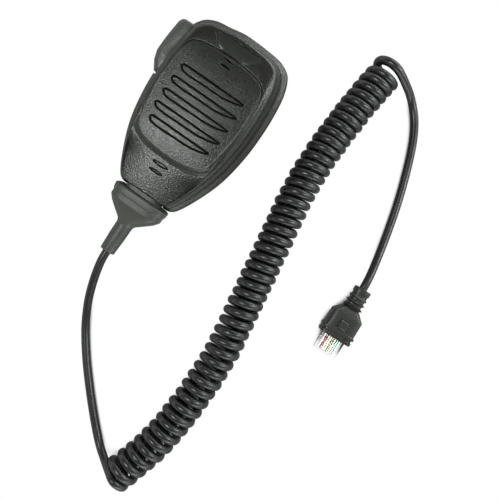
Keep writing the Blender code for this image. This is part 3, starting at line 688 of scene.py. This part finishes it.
def nameplate():
    """A blank plate that fills its recess almost flush with the face."""
    outline = evenly(nameplate_outline(-0.02), 90, closed=True)
    middle = outline.mean(0)
    rings = []
    steps = [(1, 0.8), (1, 0.26), (0.996, 0.17), (0.985, 0.13), (0.7, 0.12), (0.35, 0.12), (0.02, 0.12)]
    for share, below in steps:
        ring = middle + (outline - middle) * share
        rings.append(drooped(np.column_stack([ring, face_height(ring)])) - np.array([0, 0, below]))
    return loft_object("blank_plate", rings, MIC_FRAME)


place_piece(nameplate(), PLATE, "case", "nameplate_plastic", "nameplate")


# Lever -----------------------------------------------------------------------


def ptt_lever():
    outer = [(-26.2, 5.6), (-28.9, 5.9), (-31.7, 10.4), (-33.0, 14.8), (-32.9, 19.5), (-32.6, 24.0)]
    outer += [(-31.8, 31.4), (-31.0, 33.0), (-29.6, 33.9), (-23.9, 34.1)]
    inner = [(-23.9, 32.8), (-24.9, 28.0), (-25.6, 21.0), (-25.6, 15.9), (-25.1, 15.2), (-25.1, 13.6)]
    inner += [(-25.6, 12.9), (-25.6, 11.0), (-23.6, 10.2), (-22.9, 8.4), (-23.6, 6.6)]
    top = [(-25.6, 7.6), (-27.4, 8.0), (-29.2, 11.6), (-30.3, 15.4), (-30.2, 19.5), (-30.0, 24.0)]
    top += [(-29.4, 30.4), (-28.9, 31.8), (-27.9, 32.6), (-23.9, 32.9)]
    rings = []
    for height, share in [(8.5, 0.15), (9.0, 0), (17.3, 0), (20.2, 1)]:
        between = [[p + (q - p) * share for p, q in zip(a, b)] for a, b in zip(outer, top)]
        ring = [(x, y, height) for x, y in between]
        rings.append([*ring, *[(x, y, height) for x, y in inner]])
    lever = loft_object("ptt_lever", rings, MIC_FRAME)
    soften(lever, 0.45, 3, 25)
    return settle(lever, 40)


place_piece(ptt_lever(), LEVER, "ptt", "ptt_plastic", "ptt_button")


# Bushing and boot --------------------------------------------------------------


def section(y, half_width, half_depth, squareness, middle, count=96):
    """A rounded-rectangle section across the cord's line; a squareness of 2 is an ellipse."""
    turn = 2 * math.pi * (np.arange(count) + 0.5) / count
    across = np.sign(np.cos(turn)) * np.abs(np.cos(turn)) ** (2 / squareness)
    up = np.sign(np.sin(turn)) * np.abs(np.sin(turn)) ** (2 / squareness)
    return np.column_stack([half_width * across, np.full(count, y), middle + half_depth * up])


def stationed(name, stations, middle, place, reach=0.25):
    rings = [section(*s, middle) for s in rounded(stations, reach)]
    return loft_object(name, rings, place, 40)


def bushing():
    stations = [(-37.9, 11.0, 6.3, 4), (-39.3, 11.0, 6.3, 4), (-39.6, 9.7, 5.5, 5)]
    stations += [(-46.5, 9.7, 5.5, 5), (-46.6, 13.6, 8.2, 4), (-47.2, 14.4, 8.9, 4)]
    stations += [(-50.1, 14.0, 8.7, 4), (-50.4, 13.6, 8.3, 4), (-53.2, 13.5, 8.2, 4)]
    stations += [(-55.6, 11.7, 7.4, 3.6), (-59.0, 7.8, 5.8, 3), (-61.4, 4.9, 4.5, 2.4)]
    stations += [(-63.0, 4.2, 4.15, 2), (-70.0, 4.1, 4.1, 2), (NECK_END, 3.75, 3.75, 2)]
    stations += [(NECK_END + 0.1, 2.4, 2.4, 2), (NECK_END + 3, 2.3, 2.3, 2)]
    return stationed("cord_relief", stations, CORD_AXIS_HEIGHT, MIC_FRAME)


relief = place_piece(bushing(), BUSHING, "case", "cord_rubber", "cord_bushing")


def boot():
    stations = [(12.9, 6.3, 3.6, 6), (0.05, 6.3, 3.6, 6), (0, 8.3, 6.2, 6), (1.7, 8.6, 6.4, 6)]
    stations += [(1.9, 8.0, 6.0, 6), (3.0, 8.0, 6.0, 6), (3.2, 8.8, 6.5, 6), (4.3, 8.8, 6.5, 6)]
    stations += [(4.6, 8.1, 6.3, 6), (12.8, 8.0, 6.3, 6), (16.4, 4.7, 4.6, 4)]
    for middle, rib in [(17.9, 5.4), (20.5, 5.05), (23.1, 4.75)]:
        stations += [(middle - 0.9, 3.9, 3.9, 3), (middle, rib, rib, 3), (middle + 0.7, 3.9, 3.9, 3)]
    stations += [(25.3, 3.9, 3.9, 3), (25.4, 4.35, 4.35, 3), (27.9, 4.3, 4.3, 3)]
    stations += [(27.8, 2.4, 2.4, 3), (25, 2.3, 2.3, 3)]
    made = stationed("boot", stations, PLUG_AXIS_HEIGHT, PLUG_FRAME, 0.2)
    tools = [
        box_tool((-3.4, -1, 9), (3.4, 10.6, 12.35), PLUG_FRAME),
        box_tool((-2.42, 5.48, 11), (2.42, 9.82, 14.5), PLUG_FRAME),
    ]
    return subtract(made, tools, 40)


plug_boot = place_piece(boot(), BOOT, "case", "cord_rubber", "plug_boot")


# Cord ------------------------------------------------------------------------

LEAD_FROM_MIC = [
    (0.0, -76.5, 10.75),
    (0.0, -78.95, 10.55),
    (0.3, -84.0, 10.1),
    (1.9, -92.7, 8.4),
    (4.8, -103.1, 5.6),
    (8.1, -111.1, 3.4),
    (11.9, -118.0, 2.4),
    (20.0, -129.0, 2.2),
    (28.4, -138.8, 2.2),
    (37.6, -148.7, 2.2),
    (46.2, -157.3, 2.3),
    (51.8, -162.0, 3.1),
    (57.3, -164.8, 6.2),
    (62.7, -166.6, 11.0),
    (67.3, -167.7, 15.0),
]
COIL_AXIS = [
    (65.0, -171.5, 8.75),
    (67.2, -164.9, 8.75),
    (70.3, -154.9, 8.75),
    (73.6, -139.9, 8.75),
    (75.2, -121.9, 8.75),
    (75.4, -103.9, 8.75),
    (74.6, -87.9, 8.75),
    (72.2, -71.9, 8.75),
    (69.7, -56.9, 8.75),
    (67.0, -40.9, 8.75),
    (63.8, -21.9, 8.75),
    (61.0, -5.9, 8.75),
    (59.4, 10.1, 8.75),
    (59.0, 24.1, 8.75),
    (59.4, 38.1, 8.75),
    (60.2, 52.1, 8.75),
    (61.6, 66.1, 8.75),
    (63.0, 77.3, 8.75),
]
LEAD_TO_PLUG = [
    (74.2, 71.9, 9.6),
    (78.7, 70.4, 5.6),
    (82.9, 67.6, 3.2),
    (86.9, 63.7, 2.3),
    (90.9, 57.8, 2.2),
    (94.7, 50.4, 2.2),
    (98.5, 41.2, 2.2),
    (102.0, 31.8, 2.2),
    (105.2, 22.1, 2.2),
    (108.0, 12.4, 2.2),
    (110.3, 3.3, 2.6),
    (112.1, -5.5, 3.8),
    (113.4, -13.6, 5.8),
    (114.0, -18.4, 6.5),
    (114.4, -23.0, 6.6),
]
# How far along the axis each turn of the curl is at its right side, and how far its left
# side runs ahead
TURN_PLACES = [4.9, 10.4, 15.9, 21.4, 27.0, 32.6, 38.0, 43.4, 48.7, 54.1, 59.7, 65.2, 70.6, 76.0]
TURN_PLACES += [81.5, 87.0, 92.3, 97.7, 103.0, 108.3, 113.4, 118.3, 123.1, 128.0, 132.8, 137.8]
TURN_PLACES += [142.8, 147.9, 153.0, 158.0, 163.0, 168.2, 173.3, 178.2, 183.3, 188.1, 193.0, 197.8]
TURN_PLACES += [202.2, 206.5, 211.0, 215.7, 220.4, 225.3, 230.0, 234.6, 239.2, 243.5]
LEANS = [(0, 0.38), (6, 0.45), (11, 0.35), (20, 0.1), (27, 0.1), (33, -0.3), (35, -0.4), (37, -0.1)]
LEANS += [(40, 0.3), (42, 0.1), (44, -0.35), (47, 0.0), (49, 0.0)]
FIRST_TURN = 0.17
LAST_TURN = 48.08
POINTS_PER_TURN = 28
CURL_THICKENING = 1.05


def helix():
    """The curl: a right-handed helix about the coil's axis, each turn where it lies."""
    axis = spline(COIL_AXIS, 24)
    total = lengths(axis)[-1]
    turn = np.linspace(FIRST_TURN, LAST_TURN, round((LAST_TURN - FIRST_TURN) * POINTS_PER_TURN))
    lean = np.interp(turn, *zip(*LEANS))
    at_right = [(k + 0.25, place) for k, place in enumerate(TURN_PLACES)]
    knots = [(0.0, 4.6), *at_right, (47.75, 247.4), (48.0, 248.7), (48.1, 248.9)]
    knots = [(t, s + np.interp(t, *zip(*LEANS))) for t, s in knots]
    smooth = spline(knots, 12)
    along = np.interp(turn, smooth[:, 0], smooth[:, 1]) - lean * np.sin(turn * 2 * math.pi)
    centre = at_lengths(axis, along)
    ahead = at_lengths(axis, np.minimum(along + 0.5, total)) - at_lengths(axis, along - 0.5)
    ahead /= np.linalg.norm(ahead, axis=1)[:, None]
    right = np.column_stack([ahead[:, 1], -ahead[:, 0], np.zeros(len(ahead))])
    angles = turn * 2 * math.pi
    radius = COIL_RADIUS + 0.08 * np.sin(turn * 1.7) + 0.05 * np.sin(turn * 4.1 + 2)
    made = centre + (radius * np.sin(angles))[:, None] * right
    made[:, 2] = radius * (1 + np.cos(angles)) + CORD_DIAMETER / 2 + CORD_CLEARANCE
    return made


def cord_route():
    curl = helix()
    before = spline([*LEAD_FROM_MIC, curl[0], curl[3]], 8)[:-8]
    after = spline([curl[-4], curl[-1], *LEAD_TO_PLUG], 8)[8:]
    return np.vstack([before[:-1], curl, after[1:]]), len(before), len(before) + len(curl)


def cord():
    route, first, last = cord_route()
    curve = bpy.data.curves.new("curly_cord", "CURVE")
    curve.dimensions = "3D"
    curve.bevel_depth = CORD_DIAMETER / 2 * MM
    curve.bevel_resolution = 5
    curve.use_fill_caps = True
    line = curve.splines.new("POLY")
    line.points.add(len(route) - 1)
    for point, place in zip(line.points, route):
        point.co = (*(DESK_FRAME @ Vector(place)), 1)
    line.use_smooth = True
    for point in line.points[first:last]:
        point.radius = CURL_THICKENING
    made = bpy.data.objects.new("curly_cord", curve)
    bpy.context.scene.collection.objects.link(made)
    return made, lengths(route)[-1] * MM


curly, CORD_LENGTH = cord()
curly.data.materials.append(RUBBER)
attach(curly, "case")
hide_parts("cord_lead_mic", "cord_curl", "cord_lead_plug")
print("cord length", round(CORD_LENGTH, 3))


# Pieces with a plain shape, dressed as they are ------------------------------------

CONDUCTORS = {
    "white": (0.86, 0.85, 0.83),
    "brown": (0.26, 0.07, 0.08),
    "pink": (0.88, 0.66, 0.63),
    "yellow": (0.86, 0.83, 0.56),
    "black": (0.32, 0.31, 0.2),
    "grey": (0.72, 0.76, 0.72),
    "green": (0.42, 0.7, 0.5),
    "teal": (0.5, 0.78, 0.74),
}
WIRES = {
    "red": (0.6, 0.03, 0.03),
    "yellow": (0.75, 0.6, 0.05),
    "green": (0.05, 0.35, 0.1),
    "blue": (0.05, 0.15, 0.5),
    "white": (0.75, 0.75, 0.73),
    "black": (0.02, 0.02, 0.02),
}


def insulated(name, colour):
    return moulded(name, colour, 0.42, grain=2.0, bump=0.1, wear=0.2)


for name in ("ptt_pivot_pin", "cord_clamp", "clamp_screw_1", "clamp_screw_2", "board_screw_1"):
    dress(NODES[name], STEEL)
for name in ("board_screw_2", "hang_washer", "hang_nut", *(f"case_screw_{k}" for k in range(1, 5))):
    dress(NODES[name], STEEL)
dress(NODES["hang_button"], BUTTON)
for name in ("ptt_seal", "capsule_boot"):
    dress(NODES[name], SOFT)
dress(NODES["release_pad"], BOOT)
dress(NODES["inner_cable"], RUBBER)
dress(NODES["switch_body"], moulded("switch_plastic", (0.045, 0.045, 0.05), 0.45))
dress(NODES["switch_plunger"], moulded("plunger_plastic", (0.7, 0.7, 0.66), 0.45))
dress(NODES["circuit_board"], moulded("board_green", (0.02, 0.16, 0.07), 0.4, grain=0.9, bump=0.1))
dress(NODES["amplifier_chip"], moulded("chip_black", (0.02, 0.02, 0.02), 0.5))
dress(NODES["mic_capsule"], metal("capsule_metal", (0.62, 0.62, 0.6), 0.25))
dress(NODES["inlet_felt"], moulded("felt", (0.02, 0.02, 0.02), 0.95, grain=3.0, bump=0.9))
for name in ("wire_header", "wire_housing"):
    dress(NODES[name], moulded(f"{name}_plastic", (0.72, 0.7, 0.62), 0.5))
for colour, rgb in WIRES.items():
    dress(NODES[f"wire_{colour}"], insulated(f"{colour}_insulation", rgb))
for name in ("plug_body", "plug_latch"):
    dress(NODES[name], CLEAR)
for number, (colour, rgb) in enumerate(CONDUCTORS.items(), 1):
    dress(NODES[f"contact_{number}"], GOLD)
    dress(NODES[f"conductor_{number}_{colour}"], insulated(f"conductor_{colour}", rgb))

ON_CORD = [relief, plug_boot, NODES["release_pad"], NODES["plug_body"], NODES["plug_latch"]]
ON_CORD += [NODES[f"contact_{number}"] for number in range(1, 9)]
ON_CORD += [NODES[f"conductor_{number}_{colour}"] for number, colour in enumerate(CONDUCTORS, 1)]


# Floor, lights and camera ---------------------------------------------------------


FLOOR_WIDTH = 12.0
FLOOR_LEVEL = -0.0002
FLOOR_GREY = 0.42
PAINTED_SHADOW_REACH = 0.007


def floor():
    """White to the eye and through the clear plug, with painted shadow where it is shut in under and
    beside things; a mid grey to what stands on it.
    """
    half = FLOOR_WIDTH / 2
    corners = [(-half, -half, FLOOR_LEVEL), (half, -half, FLOOR_LEVEL)]
    corners += [(half, half, FLOOR_LEVEL), (-half, half, FLOOR_LEVEL)]
    made = new_object("floor", corners, [(0, 1, 2, 3)], Matrix.Identity(4))
    finish = Finish("floor_white_painted_shadow", (FLOOR_GREY, FLOOR_GREY, FLOOR_GREY), 0.9)
    finish.shader.inputs["Specular IOR Level"].default_value = 0.0
    # Painted shadow: the glow that the eye sees darkens where ambient occlusion finds the floor shut
    # in, as under the curl.
    painted_shade_ao = finish.nodes.new("ShaderNodeAmbientOcclusion")
    painted_shade_ao.inputs["Distance"].default_value = PAINTED_SHADOW_REACH
    glow = finish.nodes.new("ShaderNodeEmission")
    finish.link(finish.mapped(painted_shade_ao.outputs["AO"], 0.36, 0.58, 0.03, 1.0), glow.inputs["Color"])
    ray = finish.nodes.new("ShaderNodeLightPath")
    seen = finish.math("MAXIMUM", ray.outputs["Is Camera Ray"], ray.outputs["Is Transmission Ray"])
    blend = finish.nodes.new("ShaderNodeMixShader")
    finish.link(seen, blend.inputs["Fac"])
    finish.link(finish.shader.outputs["BSDF"], blend.inputs[1])
    finish.link(glow.outputs["Emission"], blend.inputs[2])
    finish.link(blend.outputs["Shader"], finish.nodes["Material Output"].inputs["Surface"])
    dress(made, finish.material)


def soft_light(name, place, size, power, target=(0.03, -0.02, 0.0)):
    lamp = bpy.data.lights.new(name, "AREA")
    lamp.shape = "RECTANGLE"
    lamp.size, lamp.size_y = size
    lamp.energy = power
    lamp.color = (0.95, 1.0, 0.975)
    obj = bpy.data.objects.new(name, lamp)
    obj.location = place
    obj.rotation_mode = "QUATERNION"
    obj.rotation_quaternion = (Vector(target) - Vector(place)).to_track_quat("-Z", "Y")
    bpy.context.scene.collection.objects.link(obj)


floor()
LIGHTS = {
    "left_box": ((-0.25, -0.19, 0.87), (0.14, 0.16), 4.8),
    "right_box": ((0.72, 0.40, 0.6), (0.22, 0.5), 6.0),
    "far_box": ((0.25, 0.95, 0.22), (0.9, 0.3), 5.0),
    "near_box": ((0.62, -0.66, 0.3), (0.8, 0.25), 3.5),
}
for name, (place, size, power) in LIGHTS.items():
    soft_light(name, place, size, power)


def studio():
    """A dim room whose walls are bright."""
    made = bpy.data.worlds.new("studio")
    made.use_nodes = True
    nodes, links = made.node_tree.nodes, made.node_tree.links
    where = nodes.new("ShaderNodeTexCoord")
    split = nodes.new("ShaderNodeSeparateXYZ")
    links.new(where.outputs["Generated"], split.inputs["Vector"])
    wall = nodes.new("ShaderNodeMapRange")
    wall.interpolation_type = "SMOOTHSTEP"
    levels = (("From Min", 0.05), ("From Max", 0.42), ("To Min", 2.3), ("To Max", 0.12))
    for key, number in levels:
        wall.inputs[key].default_value = number
    links.new(split.outputs["Z"], wall.inputs["Value"])
    links.new(wall.outputs["Result"], nodes["Background"].inputs["Strength"])
    nodes["Background"].inputs["Color"].default_value = (0.98, 1.0, 0.965, 1)
    return made


bpy.context.scene.world = studio()
bpy.context.scene.view_settings.view_transform = "Standard"

CAMERA_X = 58.56
CAMERA_Y = -21.32
CAMERA_HEIGHT = 300.0
VIEW_WIDTH = 254.0
lens = bpy.data.cameras.new("camera")
lens.sensor_width = 36.0
lens.lens = lens.sensor_width * CAMERA_HEIGHT / VIEW_WIDTH
lens.clip_start = 0.01
lens.clip_end = 20
camera = bpy.data.objects.new("camera", lens)
camera.location = (CAMERA_X * MM, CAMERA_Y * MM, CAMERA_HEIGHT * MM)
camera.rotation_euler = (0, 0, math.radians(35))
bpy.context.scene.collection.objects.link(camera)
bpy.context.scene.camera = camera
